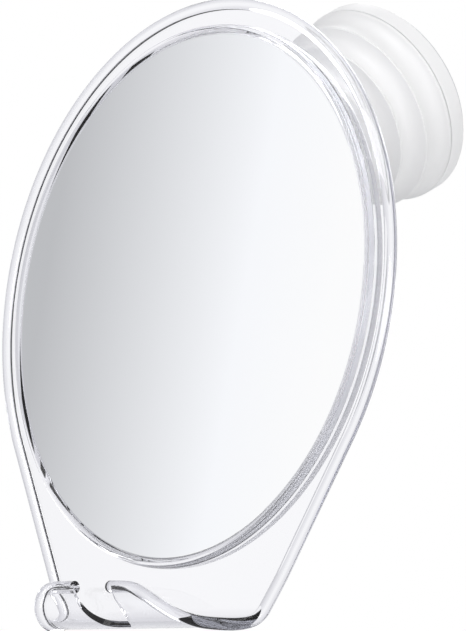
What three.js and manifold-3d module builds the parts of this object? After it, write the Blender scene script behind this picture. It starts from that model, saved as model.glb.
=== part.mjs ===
// Fogless shower mirror: a round mirror in a clear frame with a curled razor tray, on a ball
// joint and a twist-lock suction base. Units are millimetres.
//
// The origin is the centre of the suction pad's wall face. +Y runs into the wall, -Y out into
// the room, +X to the right of someone who faces the wall, and +Z up.
//
// The head is described in the mirror's own frame: x to the right, y up, z out of the mirror,
// with its origin at the centre of the mirror's face.
import * as THREE from "three";
import { mergeVertices } from "three/addons/utils/BufferGeometryUtils.js";
import Module from "manifold-3d";

const wasm = await Module();
wasm.setup();

// Driving dimensions

const gap = 0.3; // between neighbouring pieces, resting or running
const overrun = 1; // how far a cutter runs past what it cuts

const mirror = { radius: 80, thickness: 3, bevel: 0.4 };
const foam = { thickness: 0.6, inset: 0.6 };

const plate = { thickness: 2, setback: 2.47 }; // setback: from the mirror's face to mid-plate
const bead = { radius: 1.92, beyondMirror: 9.1, taperDeg: 30 };
const pod = { wall: 2.2, floor: 2, proud: 0.75, bezel: 1.1, edge: 0.3, draft: 0.4 };

// The sheet wraps round the curl's axis by wrapDeg. The notch's sides run in from its mouth.
const curl = { radius: 5.9, belowBead: 5.7, wrapDeg: 255, leftInset: 3.55 };
const finger = { length: 10, cornerRadius: 3.5 };
const notch = { bottomDeg: 103, mouth: 17, leftRun: 18.6, rightRun: 13.1 };

// Ball joint: how far its centre lies above the mirror's centre, as a share of the mirror's
// radius, and behind the mirror's face; and how the head stands
const ballAboveShare = 0.48875;
const ball = { radius: 7.5, behind: 18, neckRadius: 3.2 };
const stance = { upDeg: 31.4, leftDeg: 4.3 };
const seat = { thickness: 0.8, poleGapDeg: 2, ringFrom: 0.2, ringTo: 1.6 };
const socket = { wall: 2.3, flangeRadius: 17.5, flangeThickness: 3.2, mouth: 1 };
const retainer = { wall: 1.9, lip: 1, chamfer: 0.8 };
const screw = { radius: 1.25, headRadius: 2.3, headDepth: 1.3, inset: 3.2, count: 3 };

// Wall unit, with stations measured from the wall
const base = { radius: 31.1, rear: 1.6, front: 7, edge: 0.35, web: 2, webRear: 4.4, rim: 1.5, press: 5.6 };
const pad = { thickness: 2.2, bossRadius: 8.5, bossTop: 4.8, edge: 0.5 };
const tower = { wall: 1.5, boreRadius: 11.3, top: 13.7, roof: 1.8 };
const tube = { wall: 3.7, end: 33.4 };
const pull = { radius: 3, flangeRadius: 6, flangeThickness: 1.5, flangeRear: 1.4, end: 23.6 };
const pin = { radius: 1.2, length: 25.8 };
const spring = { radius: 5.2, wire: 0.4, turnCount: 3 };
const cam = { lift: 2.5, rear: 14, low: 16, turnDeg: 90, dropFromDeg: 144, dropToDeg: 152 };
const knob = {
  rearStep: 0.2, // each tier's step in from the one behind it, the first from the base
  middleStep: 1.6,
  frontStep: 3.6,
  noseStep: 5.7,
  rear: 7.3,
  middle: 16.35,
  front: 24,
  nose: 30,
  face: 31.3,
  wall: 1.8,
  hubWall: 1.7,
  crest: 0.5,
  noseCove: 0.3, // how far the middle point of each cove's curve lies inside its front crest
  frontCove: 1.5,
  middleCove: 2.3,
};
// Where that point lies, as a share of the way from the rear crest to the front one
const coveShares = [0.43, 0.37, 0.28];
const nut = { wall: 3.4, roof: 1.8, chamfer: 0.8 };
const stud = { flangeRadius: 6.2, flangeThickness: 1.5 };
const washer = { thickness: 0.6, inset: 0.3 };
const wallToBall = 64.4;

// Segment counts: sides of round things, and steps along outlines and sweeps
const sides = { small: 24, medium: 32, knob: 44, base: 48, pod: 84, bead: 8, wire: 6 };
const steps = { seat: 8, ball: 10, leftEdge: 40, rightEdge: 60, notchSide: 40, cove: 6, ramp: 12 };
const bandSteps = { bottom: 10, front: 14 };
const beadSteps = { round: 96, left: 30, right: 36, springTurn: 10 };

// Below these, points are taken as one and three points as lying on one line
const mergeWithin = 1e-5;
const straightWithin = 1e-6;

// Colours and finishes

const clearPlastic = { color: 0xf0f0f5, roughness: 0.05, metalness: 0, transparent: true, opacity: 0.35 };
const mirrorFace = { color: 0xe6e7ea, roughness: 0.03, metalness: 1 };
const whiteFoam = { color: 0xe6e6e8, roughness: 0.9, metalness: 0 };
const whitePlastic = { color: 0xf4f4f4, roughness: 0.4, metalness: 0 };
const nylon = { color: 0xe8e6df, roughness: 0.5, metalness: 0 };
const steel = { color: 0xb8babd, roughness: 0.3, metalness: 1 };
const greyRubber = { color: 0xc9cbce, roughness: 0.6, metalness: 0 };

// Helpers

const rad = THREE.MathUtils.degToRad;

/** A closed mesh as a solid: shared vertices merged, slivers of no width dropped, faces out. */
function solid(geometry) {
  const bare = geometry.clone();
  bare.deleteAttribute("normal");
  bare.deleteAttribute("uv");
  const merged = mergeVertices(bare, mergeWithin);
  const at = merged.attributes.position.array;
  const corners = [];
  let volume = 0;
  for (let i = 0; i < merged.index.count; i += 3) {
    const [a, b, c] = [0, 1, 2].map((k) => merged.index.getX(i + k));
    if (a === b || b === c || c === a) continue;
    corners.push(a, b, c);
    const [p, q, r] = [a, b, c].map((k) => new THREE.Vector3().fromArray(at, 3 * k));
    volume += p.dot(q.cross(r));
  }
  if (volume < 0) corners.reverse();
  const mesh = new wasm.Mesh({
    numProp: 3,
    vertProperties: new Float32Array(at),
    triVerts: new Uint32Array(corners),
  });
  return new wasm.Manifold(mesh);
}

/** A solid back as a geometry. */
function geometryOf(shape) {
  const mesh = shape.getMesh();
  const geometry = new THREE.BufferGeometry();
  geometry.setAttribute("position", new THREE.BufferAttribute(new Float32Array(mesh.vertProperties), 3));
  geometry.setIndex(new THREE.BufferAttribute(new Uint32Array(mesh.triVerts), 1));
  geometry.computeVertexNormals();
  return geometry;
}

const joined = (shapes) => shapes.reduce((whole, shape) => whole.add(shape));

/** Turns a closed outline of [radius, height] points about the Y axis. */
function turned(outline, segments) {
  const points = [...outline, outline[0]].map(([r, h]) => new THREE.Vector2(r, h));
  return new THREE.LatheGeometry(points, segments);
}

/** The same, for the wall unit: heights are stations measured from the wall, along -Y. */
const turnedFromWall = (outline, segments) => turned(outline.map(([r, station]) => [r, -station]), segments);

/** The same, about the mirror's normal: heights are z. */
const turnedOnMirror = (outline, segments) => turned(outline, segments).rotateX(Math.PI / 2);

/** Points of a round arc of [radius, height] about [0, centre], angles from the +height axis. */
function arcAbout(centre, radius, fromDeg, toDeg, count) {
  return Array.from({ length: count + 1 }, (_, i) => {
    const angle = rad(fromDeg + ((toDeg - fromDeg) * i) / count);
    return [radius * Math.sin(angle), centre + radius * Math.cos(angle)];
  });
}

/** A closed body through loops of equal length: capped at both ends, or run on round a ring. */
function lofted(loops, ring = false) {
  const n = loops[0].length;
  const vertices = loops.flat().flatMap((v) => v.toArray());
  const index = [];
  const last = ring ? loops.length : loops.length - 1;
  for (let i = 0; i < last; i++) {
    const here = i * n;
    const next = ((i + 1) % loops.length) * n;
    for (let j = 0; j < n; j++) {
      const k = (j + 1) % n;
      index.push(here + j, next + j, next + k, here + j, next + k, here + k);
    }
  }
  if (!ring) {
    const end = (loops.length - 1) * n;
    for (let j = 1; j < n - 1; j++) {
      index.push(0, j, j + 1, end, end + j + 1, end + j);
    }
  }
  const geometry = new THREE.BufferGeometry();
  geometry.setAttribute("position", new THREE.Float32BufferAttribute(vertices, 3));
  geometry.setIndex(index);
  return geometry;
}

/** A round bar swept along a three-dimensional curve. */
function bar(curve, radius, segments, count) {
  const section = new THREE.Shape().absarc(0, 0, radius, 0, 2 * Math.PI);
  return new THREE.ExtrudeGeometry(section, { steps: count, curveSegments: segments / 2, extrudePath: curve });
}

/** A round rod along X, Y or Z, centred at a point. */
function rod(axis, radius, length, centre, segments) {
  const geometry = new THREE.CylinderGeometry(radius, radius, length, segments);
  if (axis === "x") geometry.rotateZ(Math.PI / 2);
  if (axis === "z") geometry.rotateX(Math.PI / 2);
  return geometry.translate(...centre);
}

/** A named piece from a solid, or from a geometry that still has to be closed. */
function piece(name, shape, finish) {
  const body = shape instanceof THREE.BufferGeometry ? solid(shape) : shape;
  const mesh = new THREE.Mesh(geometryOf(body), new THREE.MeshStandardMaterial(finish));
  mesh.name = name;
  return mesh;
}

// Stack of the pod, along the mirror's normal

const foamFront = -mirror.thickness - gap;
const podFloorFront = foamFront - foam.thickness - gap;
const podFloorBack = podFloorFront - pod.floor;
const podInner = mirror.radius + gap;
const podOuter = podInner + pod.wall;
const plateFront = -plate.setback + plate.thickness / 2;
const plateBack = -plate.setback - plate.thickness / 2;

// Clear frame: outline of the unrolled sheet
//
// A point of the sheet is (x, s): s is measured down the sheet from the line where the curl
// begins, so the flat plate has s below zero. The bead's middle runs along this outline.

const beadCircle = mirror.radius + bead.beyondMirror;
const curlAxis = { y: -beadCircle - curl.belowBead, z: -plate.setback + curl.radius };
const curlLength = rad(curl.wrapDeg) * curl.radius;
const notchFloor = rad(notch.bottomDeg) * curl.radius;

/** Where a point of the sheet lies once it is curled; out is the offset to the outer side. */
function curled(x, s, out = 0) {
  if (s <= 0) return new THREE.Vector3(x, curlAxis.y - s, -plate.setback - out);
  const angle = s / curl.radius;
  const r = curl.radius + out;
  return new THREE.Vector3(x, curlAxis.y - r * Math.sin(angle), curlAxis.z - r * Math.cos(angle));
}

const taper = rad(bead.taperDeg);
const tangentPoint = new THREE.Vector2(
  beadCircle * Math.cos(taper),
  curlAxis.y + beadCircle * Math.sin(taper),
);
/** Half width of the straight sides at s. */
const sideAt = (s) => tangentPoint.x - (s - tangentPoint.y) * Math.tan(taper);

// Left end: from the cut lip, round the corner, down the curl and up into the side
const leftEnd = sideAt(0) - curl.leftInset;
const mouthLeft = leftEnd - finger.length;
const mouthRight = mouthLeft - notch.mouth;
const leftLead = curl.radius; // sheet length over which the side bends into the curl
const leftEdge = new THREE.Path()
  .moveTo(-mouthLeft, curlLength)
  .lineTo(-leftEnd + finger.cornerRadius, curlLength)
  .quadraticCurveTo(-leftEnd, curlLength, -leftEnd, curlLength - finger.cornerRadius)
  .lineTo(-leftEnd, leftLead)
  .quadraticCurveTo(-leftEnd, 0, -sideAt(-leftLead), -leftLead)
  .lineTo(-sideAt(-2 * leftLead), -2 * leftLead);

// Right end: a wide corner off the side, then the lip that climbs to the second lip end.
// Shares are of the plate's half width where the curl begins, and of the curl's length along s.
const rightEdgeShares = [
  [0.985, 0],
  [0.916, 0.19],
  [0.767, 0.343],
  [0.579, 0.434],
  [0.394, 0.56],
  [0.185, 0.724],
  [-0.063, 0.899],
  [-0.21, 0.971],
];
const rightLead = 1.5 * curl.radius; // where the side starts to bend into the corner
const rightEdge = new THREE.SplineCurve([
  new THREE.Vector2(sideAt(-2 * rightLead), -2 * rightLead),
  new THREE.Vector2(sideAt(-rightLead), -rightLead),
  ...rightEdgeShares.map(([x, s]) => new THREE.Vector2(x * sideAt(0), s * curlLength)),
  new THREE.Vector2(-mouthRight, curlLength),
]);

const leftPoints = leftEdge.getSpacedPoints(steps.leftEdge);
const rightPoints = rightEdge.getSpacedPoints(steps.rightEdge);

/** x of an outline at s, between its own points. */
function edgeAt(points, s) {
  for (let i = 1; i < points.length; i++) {
    const [a, b] = [points[i - 1], points[i]];
    if ((a.y - s) * (b.y - s) <= 0 && a.y !== b.y) {
      return a.x + ((b.x - a.x) * (s - a.y)) / (b.y - a.y);
    }
  }
  return (s < points[0].y ? points[0] : points.at(-1)).x;
}

// Notch: its two sides between floor and mouth, in shares of the way across and up
const notchLeftShares = [
  [-0.23, 0],
  [0, 0.06],
  [0.2, 0.2],
  [0.4, 0.375],
  [0.68, 0.66],
  [0.87, 0.86],
  [1, 1],
];
const notchRightShares = [
  [0.1, 0],
  [-0.02, 0.1],
  [-0.02, 0.29],
  [0.14, 0.46],
  [0.35, 0.59],
  [0.76, 0.87],
  [1, 1],
];
/** A side of the notch as a curve in (x, s). */
function notchSide(shares, floorX, mouthX) {
  const points = shares.map(([across, up]) => {
    return new THREE.Vector2(floorX + (mouthX - floorX) * across, notchFloor + (curlLength - notchFloor) * up);
  });
  return new THREE.SplineCurve(points).getSpacedPoints(steps.notchSide);
}
const notchLeft = notchSide(notchLeftShares, notch.leftRun - mouthLeft, -mouthLeft);
const notchRight = notchSide(notchRightShares, notch.rightRun - mouthRight, -mouthRight);

/** A curled band of the sheet between two outlines, from one s to another. */
function band(left, right, from, to, count) {
  const half = plate.thickness / 2;
  const loops = Array.from({ length: count + 1 }, (_, i) => {
    const s = from + ((to - from) * i) / count;
    const [x0, x1] = [edgeAt(left, s), edgeAt(right, s)];
    return [curled(x0, s, half), curled(x1, s, half), curled(x1, s, -half), curled(x0, s, -half)];
  });
  return solid(lofted(loops));
}

/** The points of an outline without those that lie on the line between their neighbours. */
function cornersOf(points) {
  return points.filter((p, i) => {
    const before = points.at(i - 1);
    const after = points[(i + 1) % points.length];
    const [u, v] = [p.clone().sub(before), after.clone().sub(p)];
    return Math.abs(u.cross(v)) > straightWithin * u.length() * v.length();
  });
}

/** The flat plate, cut off where the curl begins, with the pod's hole in it. */
function flatPlate() {
  const flat = (points) => points.filter((p) => p.y < 0).map((p) => new THREE.Vector2(p.x, curlAxis.y - p.y));
  const arc = new THREE.Path().absarc(0, 0, beadCircle, Math.PI + taper, -taper, true);
  const outline = new THREE.Shape(cornersOf([
    new THREE.Vector2(edgeAt(leftPoints, 0), curlAxis.y),
    ...flat(leftPoints),
    ...arc.getPoints(sides.pod / 2),
    ...flat(rightPoints),
    new THREE.Vector2(edgeAt(rightPoints, 0), curlAxis.y),
  ]));
  outline.holes.push(new THREE.Path().absarc(0, 0, podInner + pod.wall / 2, 0, 2 * Math.PI, false));
  const depth = plate.thickness;
  const geometry = new THREE.ExtrudeGeometry(outline, { depth, bevelEnabled: false, curveSegments: sides.pod / 2 });
  return solid(geometry.translate(0, 0, plateBack));
}

/** The bead: two bars round the tray's ends and one round the plate, which laps over both. */
function beads() {
  const through = (points, count) => {
    const curve = new THREE.CatmullRomCurve3(points, false, "centripetal");
    return solid(bar(curve, bead.radius, sides.bead, count));
  };
  const leftLap = 2 * leftLead - bead.radius / 2;
  const rightLap = 2 * rightLead - bead.radius / 2;
  const top = new THREE.Path();
  top.moveTo(-sideAt(-leftLap), curlAxis.y + leftLap);
  top.lineTo(-tangentPoint.x, curlAxis.y - tangentPoint.y);
  top.absarc(0, 0, beadCircle, Math.PI + taper, -taper, true);
  top.lineTo(sideAt(-rightLap), curlAxis.y + rightLap);
  const round = top.getSpacedPoints(beadSteps.round).map((p) => new THREE.Vector3(p.x, p.y, -plate.setback));
  return joined([
    through(round, beadSteps.round),
    through(leftPoints.map((p) => curled(p.x, p.y)), beadSteps.left),
    through(rightPoints.map((p) => curled(p.x, p.y)), beadSteps.right),
  ]);
}

/** The pod: the round wall and floor that the mirror lies in. */
function podBody() {
  const outline = [
    [0, podFloorFront],
    [podInner, podFloorFront],
    [podInner, 0],
    [podInner + pod.bezel, pod.proud],
    [podOuter - pod.edge, pod.proud],
    [podOuter, pod.proud - pod.edge],
    [podOuter + pod.draft, plateFront],
    [podOuter + pod.draft, plateBack],
    [podOuter, podFloorBack],
    [0, podFloorBack],
  ];
  return solid(turnedOnMirror(outline, sides.pod));
}

const ballAbove = ballAboveShare * mirror.radius;

/** Where the socket's screws stand, in the mirror's frame. */
const screwCircle = socket.flangeRadius - screw.inset;
const screwPlaces = Array.from({ length: screw.count }, (_, i) => {
  const angle = Math.PI / 2 + (2 * Math.PI * i) / screw.count;
  return [screwCircle * Math.cos(angle), ballAbove + screwCircle * Math.sin(angle)];
});

/** A countersunk screw's outline, grown by a margin, from the pod's floor backwards. */
function screwOutline(margin, end) {
  const head = screw.headRadius + margin;
  const shank = screw.radius + margin;
  const top = podFloorFront + (margin ? overrun : 0);
  const shoulder = podFloorFront - screw.headDepth;
  return [
    [0, top],
    [head, top],
    [head, podFloorFront],
    [shank, shoulder],
    [shank, end],
    [0, end],
  ];
}

const screwEnd = podFloorBack - gap - socket.flangeThickness + screw.radius / 2;

function screwHoles() {
  const cutter = (x, y) => {
    const outline = screwOutline(gap, podFloorBack - socket.flangeThickness - overrun);
    return solid(turnedOnMirror(outline, sides.small / 2).translate(x, y, 0));
  };
  return joined(screwPlaces.map(([x, y]) => cutter(x, y)));
}

function clearFrame() {
  const lap = plate.thickness / 10; // the bands reach into each other by this much
  const bands = [
    band(leftPoints, rightPoints, -lap, notchFloor, bandSteps.bottom),
    band(leftPoints, notchLeft, notchFloor - lap, curlLength, bandSteps.front),
    band(notchRight, rightPoints, notchFloor - lap, curlLength - bead.radius / 2, bandSteps.front),
  ];
  return joined([podBody(), flatPlate(), ...bands, beads()]).subtract(screwHoles());
}

// Mirror and foam

function mirrorDisc() {
  const outline = [
    [0, 0],
    [mirror.radius - mirror.bevel, 0],
    [mirror.radius, -mirror.bevel],
    [mirror.radius, -mirror.thickness],
    [0, -mirror.thickness],
  ];
  return turnedOnMirror(outline, sides.pod);
}

function foamPad() {
  const radius = mirror.radius - foam.inset;
  const centre = [0, 0, foamFront - foam.thickness / 2];
  return rod("z", radius, foam.thickness, centre, sides.base);
}

// Socket on the back of the pod. Depths along the mirror's normal are z; the ball's centre is
// at z = -ball.behind.

const ballZ = -ball.behind;
const seatInner = ball.radius + gap;
const seatOuter = seatInner + seat.thickness;
const socketInner = seatOuter + gap;
const socketOuter = socketInner + socket.wall;
const socketFront = podFloorBack - gap;
const flangeBack = socketFront - socket.flangeThickness;
const onBallAxis = (geometry) => geometry.translate(0, ballAbove, 0);

function socketBase() {
  const outline = [
    [0, socketFront],
    [socket.flangeRadius, socketFront],
    [socket.flangeRadius, flangeBack],
    [socketOuter, flangeBack],
    [socketOuter, ballZ - socket.mouth],
    [socketInner, ballZ - socket.mouth],
    ...arcAbout(ballZ, socketInner, 90, 0, steps.seat),
  ];
  const body = solid(onBallAxis(turnedOnMirror(outline, sides.medium)));
  return body.subtract(screwHoles());
}

function ballSeat() {
  const reach = 90 - seat.poleGapDeg;
  const outline = [
    ...arcAbout(ballZ, seatOuter, 0, reach, steps.seat),
    ...arcAbout(ballZ, seatInner, reach, 0, steps.seat),
  ];
  return onBallAxis(turnedOnMirror(outline, sides.small));
}

/** Radius of the running surface round the ball, at a distance behind the ball's centre. */
const aroundBall = (behind) => Math.sqrt(seatInner ** 2 - behind ** 2);

function seatRing() {
  const outline = [
    [aroundBall(seat.ringFrom), ballZ - seat.ringFrom],
    [seatOuter, ballZ - seat.ringFrom],
    [seatOuter, ballZ - seat.ringTo],
    [aroundBall(seat.ringTo), ballZ - seat.ringTo],
  ];
  return onBallAxis(turnedOnMirror(outline, sides.small));
}

function socketRetainer() {
  const inner = socketOuter + gap;
  const outer = inner + retainer.wall;
  const step = ballZ - socket.mouth - gap;
  const lipFront = ballZ - seat.ringTo - gap;
  const back = lipFront - retainer.lip;
  const outline = [
    [inner, flangeBack - gap],
    [outer, flangeBack - gap],
    [outer, back + retainer.chamfer],
    [outer - retainer.chamfer, back],
    [aroundBall(ballZ - back), back],
    [aroundBall(ballZ - lipFront), lipFront],
    [socketInner, lipFront],
    [socketInner, step],
    [inner, step],
  ];
  return onBallAxis(turnedOnMirror(outline, sides.medium));
}

const socketScrew = ([x, y]) => turnedOnMirror(screwOutline(0, screwEnd), sides.small / 2).translate(x, y, 0);

// Wall unit

const tubeBore = pull.radius + gap;
const tubeOuter = tubeBore + tube.wall;
const pinAtRest = cam.low + gap + pin.radius;
const padRadius = base.radius - base.rim;

function suctionPad() {
  const cavityTop = pull.flangeRear + pull.flangeThickness + gap;
  const cavityRadius = pull.flangeRadius + gap;
  const outline = [
    [0, 0],
    [padRadius, 0],
    [padRadius, pad.edge],
    [padRadius - pad.thickness + pad.edge, pad.thickness],
    [pad.bossRadius, pad.thickness],
    [pad.bossRadius, pad.bossTop - pad.edge],
    [pad.bossRadius - pad.edge, pad.bossTop],
    [pull.radius + gap, pad.bossTop],
    [pull.radius + gap, cavityTop],
    [cavityRadius, cavityTop],
    [cavityRadius, pull.flangeRear - gap],
    [0, pull.flangeRear - gap],
  ];
  return turnedFromWall(outline, sides.base);
}

function pullStud() {
  const outline = [
    [0, pull.flangeRear],
    [pull.flangeRadius, pull.flangeRear],
    [pull.flangeRadius, pull.flangeRear + pull.flangeThickness],
    [pull.radius, pull.flangeRear + pull.flangeThickness],
    [pull.radius, pull.end],
    [0, pull.end],
  ];
  const hole = rod("x", pin.radius + gap, 2 * (pull.radius + overrun), [0, -pinAtRest, 0], sides.small / 2);
  return solid(turnedFromWall(outline, sides.small)).subtract(solid(hole));
}

const crossPin = () => rod("x", pin.radius, pin.length, [0, -pinAtRest, 0], sides.small / 2);

/** One unbroken tube along a helix between the pad's boss and the roof of the tower. */
function returnSpring() {
  const rear = pad.bossTop + gap + spring.wire;
  const front = tower.top - tower.roof - gap - spring.wire;
  const count = spring.turnCount * beadSteps.springTurn;
  const points = Array.from({ length: count + 1 }, (_, i) => {
    const angle = (2 * Math.PI * i) / beadSteps.springTurn;
    const station = rear + ((front - rear) * i) / count;
    return new THREE.Vector3(spring.radius * Math.cos(angle), -station, spring.radius * Math.sin(angle));
  });
  return bar(new THREE.CatmullRomCurve3(points), spring.wire, sides.wire, count);
}

function baseRing() {
  const press = pad.thickness + gap;
  const webFront = base.webRear + base.web;
  const towerOuter = tower.boreRadius + tower.wall;
  const bandInner = base.radius - base.web;
  const skirtInner = padRadius + gap;
  const outline = [
    [tubeBore, tube.end],
    [tubeOuter, tube.end],
    [tubeOuter, tower.top],
    [towerOuter, tower.top],
    [towerOuter, webFront],
    [bandInner, webFront],
    [bandInner, base.front],
    [base.radius - base.edge, base.front],
    [base.radius, base.front - base.edge],
    [base.radius, base.rear + base.edge],
    [base.radius - base.edge, base.rear],
    [skirtInner, base.rear],
    [skirtInner, press],
    [skirtInner - base.press, press],
    [skirtInner - base.press, base.webRear],
    [tower.boreRadius, base.webRear],
    [tower.boreRadius, tower.top - tower.roof],
    [tubeBore, tower.top - tower.roof],
  ];
  const slotRear = pinAtRest - pin.radius - gap;
  const slotFront = pinAtRest + cam.lift + pin.radius + gap;
  const slot = new THREE.BoxGeometry(2 * (tubeOuter + overrun), slotFront - slotRear, 2 * (pin.radius + gap));
  slot.translate(0, -(slotRear + slotFront) / 2, 0);
  return solid(turnedFromWall(outline, sides.base)).subtract(solid(slot));
}

const camInner = tubeOuter + gap;
const camOuter = pin.length / 2 + 2 * gap;
const hubBore = camOuter + gap;

/** Two ramps round the tube: low where the pin rests, high a quarter turn on, then a drop. */
function camRing() {
  const rise = (deg) => {
    const turn = deg % 180;
    if (turn <= cam.turnDeg) return turn / cam.turnDeg;
    if (turn <= cam.dropFromDeg) return 1;
    if (turn < cam.dropToDeg) return (cam.dropToDeg - turn) / (cam.dropToDeg - cam.dropFromDeg);
    return 0;
  };
  const half = [...Array(steps.ramp).keys()].map((i) => (i * cam.turnDeg) / steps.ramp);
  const angles = [...half, cam.turnDeg, (cam.turnDeg + cam.dropFromDeg) / 2, cam.dropFromDeg, cam.dropToDeg];
  angles.push((cam.dropToDeg + 180) / 2);
  const loops = [...angles, ...angles.map((a) => a + 180)].map((deg) => {
    const top = cam.low + cam.lift * rise(deg);
    const at = (r, station) => new THREE.Vector3(r * Math.cos(rad(deg)), -station, r * Math.sin(rad(deg)));
    return [at(camInner, cam.rear), at(camOuter, cam.rear), at(camOuter, top), at(camInner, top)];
  });
  return lofted(loops, true);
}

/** The hollow between the crest in front and the crest behind, as [radius, station] points. */
function coveBetween([frontRadius, front, dip, share], [rearRadius, rear]) {
  const from = new THREE.Vector2(frontRadius - knob.crest / 2, front - knob.crest);
  const to = new THREE.Vector2(rearRadius - knob.crest / 2, rear + knob.crest);
  const middle = new THREE.Vector2(frontRadius - dip, rear + (front - rear) * share);
  return new THREE.QuadraticBezierCurve(from, middle, to).getPoints(steps.cove).map((p) => [p.x, p.y]);
}

function twistKnob() {
  const rearRadius = base.radius - knob.rearStep;
  const middleRadius = rearRadius - knob.middleStep;
  const frontRadius = middleRadius - knob.frontStep;
  const noseRadius = frontRadius - knob.noseStep;
  const tiers = [
    [noseRadius, knob.nose, knob.noseCove, coveShares[0]],
    [frontRadius, knob.front, knob.frontCove, coveShares[1]],
    [middleRadius, knob.middle, knob.middleCove, coveShares[2]],
    [rearRadius, knob.rear],
  ];
  const outside = tiers.flatMap((tier, i) => {
    const [radius, station] = tier;
    const crest = [
      [radius - knob.crest / 4, station + knob.crest / 4],
      [radius, station],
    ];
    if (i === tiers.length - 1) return [[radius - knob.crest / 4, station + knob.crest / 2], [radius, station]];
    return [...crest, ...coveBetween(tier, tiers[i + 1])];
  });
  const inset = knob.wall + knob.frontCove;
  const hubOuter = hubBore + knob.hubWall;
  const roof = knob.face - knob.wall;
  const outline = [
    [camInner, knob.face],
    [noseRadius - knob.crest - knob.wall, knob.face],
    ...outside,
    [rearRadius - knob.wall, knob.rear],
    [middleRadius - inset, knob.middle - knob.wall],
    [frontRadius - inset, knob.middle - knob.wall / 2],
    [frontRadius - inset, knob.front - knob.wall],
    [hubOuter, knob.front - knob.wall],
    [hubOuter, cam.rear],
    [hubBore, cam.rear],
    [hubBore, roof],
    [camInner, roof],
  ];
  return turnedFromWall(outline, sides.knob);
}

// The nut's stack in front of the knob

const washerRear = knob.face + gap;
const nutRear = washerRear + washer.thickness + gap;
const studRear = tube.end + gap;
const swivelRear = studRear + stud.flangeThickness + gap;
const nutRoof = swivelRear + washer.thickness + gap;
const nutFront = nutRoof + nut.roof;
const nutInner = tubeOuter + gap;
const nutOuter = nutInner + nut.wall;

/** A flat washer from one station forwards. */
function flatWasher(inner, outer, rear) {
  const outline = [
    [inner, rear],
    [outer, rear],
    [outer, rear + washer.thickness],
    [inner, rear + washer.thickness],
  ];
  return turnedFromWall(outline, sides.small);
}

const thrustWasher = () => flatWasher(nutInner, nutOuter - washer.inset, washerRear);
const swivelWasher = () => flatWasher(ball.neckRadius + gap, nutInner - gap, swivelRear);

function knobRetainer() {
  const outline = [
    [nutInner, nutRear],
    [nutOuter, nutRear],
    [nutOuter, nutFront - nut.chamfer],
    [nutOuter - nut.chamfer, nutFront],
    [ball.neckRadius + gap, nutFront],
    [ball.neckRadius + gap, nutRoof],
    [nutInner, nutRoof],
  ];
  return turnedFromWall(outline, sides.medium);
}

function ballStud() {
  const neckDeg = THREE.MathUtils.radToDeg(Math.asin(ball.neckRadius / ball.radius));
  const outline = [
    [0, studRear],
    [stud.flangeRadius, studRear],
    [stud.flangeRadius, studRear + stud.flangeThickness],
    [ball.neckRadius, studRear + stud.flangeThickness],
    ...arcAbout(wallToBall, ball.radius, 180 - neckDeg, 0, steps.ball),
  ];
  return turnedFromWall(outline, sides.small);
}

// Assembly

const wallUnit = new THREE.Group();
wallUnit.add(
  piece("suction_pad", suctionPad(), greyRubber),
  piece("base_ring", baseRing(), whitePlastic),
  piece("pull_stud", pullStud(), steel),
  piece("cross_pin", crossPin(), steel),
  piece("return_spring", returnSpring(), steel),
  piece("cam_ring", camRing(), nylon),
  piece("twist_knob", twistKnob(), whitePlastic),
  piece("thrust_washer", thrustWasher(), nylon),
  piece("swivel_washer", swivelWasher(), nylon),
  piece("knob_retainer", knobRetainer(), whitePlastic),
  piece("ball_stud", ballStud(), whitePlastic),
);

// The head hangs on the ball: its group turns about the ball's centre, and the group inside
// it takes the mirror's frame to the wall's.
const face = new THREE.Group();
face.rotation.x = Math.PI / 2;
face.position.set(0, -ball.behind, -ballAbove);
face.add(
  piece("clear_frame", clearFrame(), clearPlastic),
  piece("mirror_disc", mirrorDisc(), mirrorFace),
  piece("mirror_foam_pad", foamPad(), whiteFoam),
  piece("socket_base", socketBase(), whitePlastic),
  ...screwPlaces.map((place, i) => piece(`socket_screw_${i + 1}`, socketScrew(place), steel)),
  piece("ball_seat", ballSeat(), nylon),
  piece("seat_ring", seatRing(), nylon),
  piece("socket_retainer", socketRetainer(), whitePlastic),
);

const head = new THREE.Group();
head.rotation.set(-rad(stance.upDeg), 0, -rad(stance.leftDeg), "ZXY");
head.position.set(0, -wallToBall, 0);
head.add(face);

const shower_mirror = new THREE.Group();
shower_mirror.add(wallUnit, head);

export default shower_mirror;
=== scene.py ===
# %% [markdown]
# # A fogless shower mirror
# The object is a round mirror that lies in a shallow clear pod. The clear sheet round the pod
# has a bead for an edge and curls forward at the bottom into a razor tray. A ball joint behind
# the mirror carries it on a stepped white suction base.
#
# The imported model is loaded first. It is the fixed frame: every piece made below sits where
# the model says, and all but the suction pad ride on one of the model's bodies.

# %% Load the frame
import math

import bmesh
import bpy
import numpy as np
from mathutils import Matrix, Vector


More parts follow.
